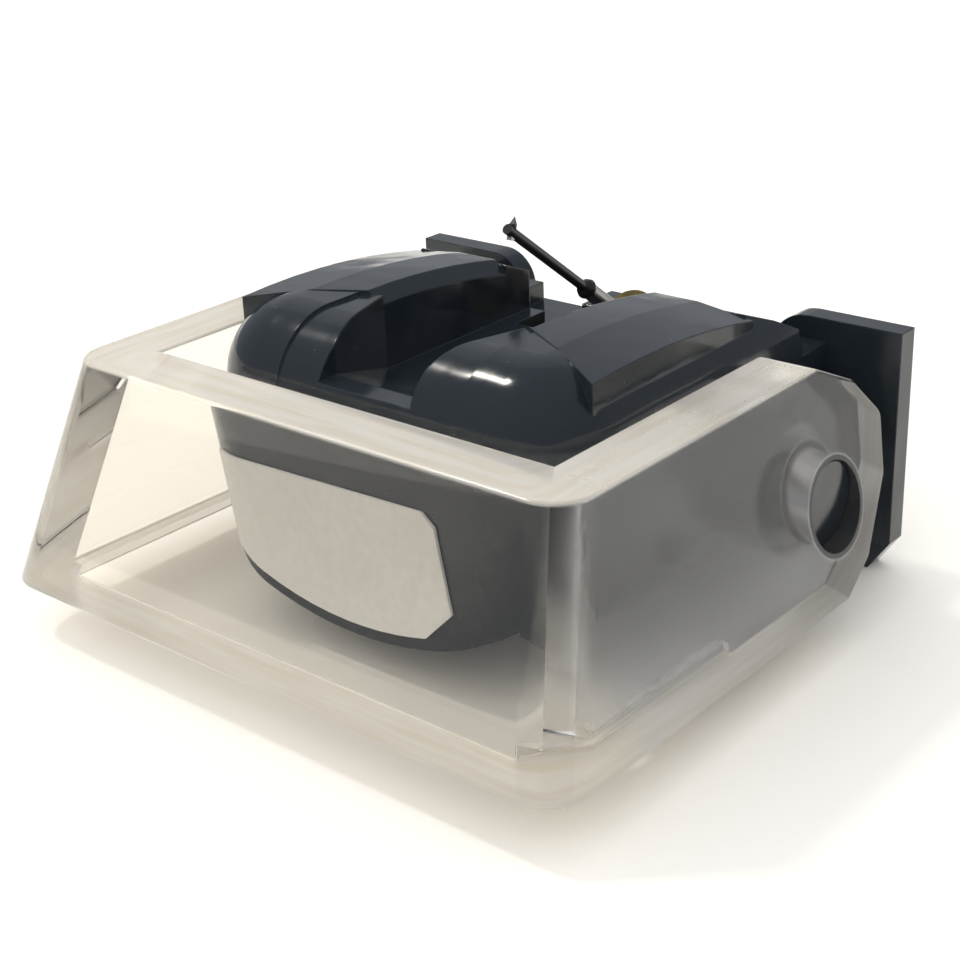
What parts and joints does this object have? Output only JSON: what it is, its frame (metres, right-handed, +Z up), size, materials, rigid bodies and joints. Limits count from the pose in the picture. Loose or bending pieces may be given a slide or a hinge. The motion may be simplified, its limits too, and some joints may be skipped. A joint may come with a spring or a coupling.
{
  "type": "record-player stylus assembly",
  "caption": "Plug-in stylus for a record player: black holder with flange and stem, tilted cantilever with diamond tip, and a clear guard that swings up over the tip.",
  "frame": {"origin": "middle of the outline on the table that the assembly lies on, upside down with the guard open", "axes": "+X to the right seen from the label, +Y from the label to the stem, +Z up, the way the tip points"},
  "size_m": [0.018, 0.0204, 0.0097],
  "materials": {
    "clear_plastic": "clear, polished",
    "black_plastic": "moulded black gloss",
    "label_film": "matt off-white film",
    "stem_brass": "turned",
    "stop_brass": "turned",
    "tie_steel": "drawn wire",
    "damper_rubber": "soft",
    "magnet_alloy": "sintered",
    "pipe_aluminium": "drawn tube",
    "adhesive": "set adhesive",
    "dark_rod": "dark drawn rod",
    "diamond": "ground"
  },
  "bodies": {
    "holder": {"front_block": "black_plastic", "mounting_flange": "black_plastic", "front_label": "label_film", "stem_tube": "stem_brass", "wire_stop": "stop_brass", "tie_wire": "tie_steel"},
    "guard": {"stylus_guard": "clear_plastic"},
    "suspension": {"damper_ring": "damper_rubber"},
    "arm": {"magnet": "magnet_alloy", "cantilever_pipe": "pipe_aluminium", "joint_bead": "adhesive", "cantilever_rod": "dark_rod", "diamond_tip": "diamond"}
  },
  "joints": [
    {"name": "guard_swing", "type": "hinge", "parent": "holder", "child": "guard", "pos_m": [0, 0.00125, 0.00362], "axis": [-1, 0, 0], "range_deg": [0, 90]},
    {"name": "arm_sideways", "type": "hinge", "parent": "holder", "child": "suspension", "pos_m": [0, 0.00505, 0.00541], "axis": [0, 0.6018, 0.7986], "range_deg": [-4, 4], "stiffness_Nm_per_rad": 0.0046},
    {"name": "arm_lift", "type": "hinge", "parent": "suspension", "child": "arm", "pos_m": [0, 0.00505, 0.00541], "axis": [1, 0, 0], "range_deg": [-2, 5], "stiffness_Nm_per_rad": 0.0046}
  ]
}
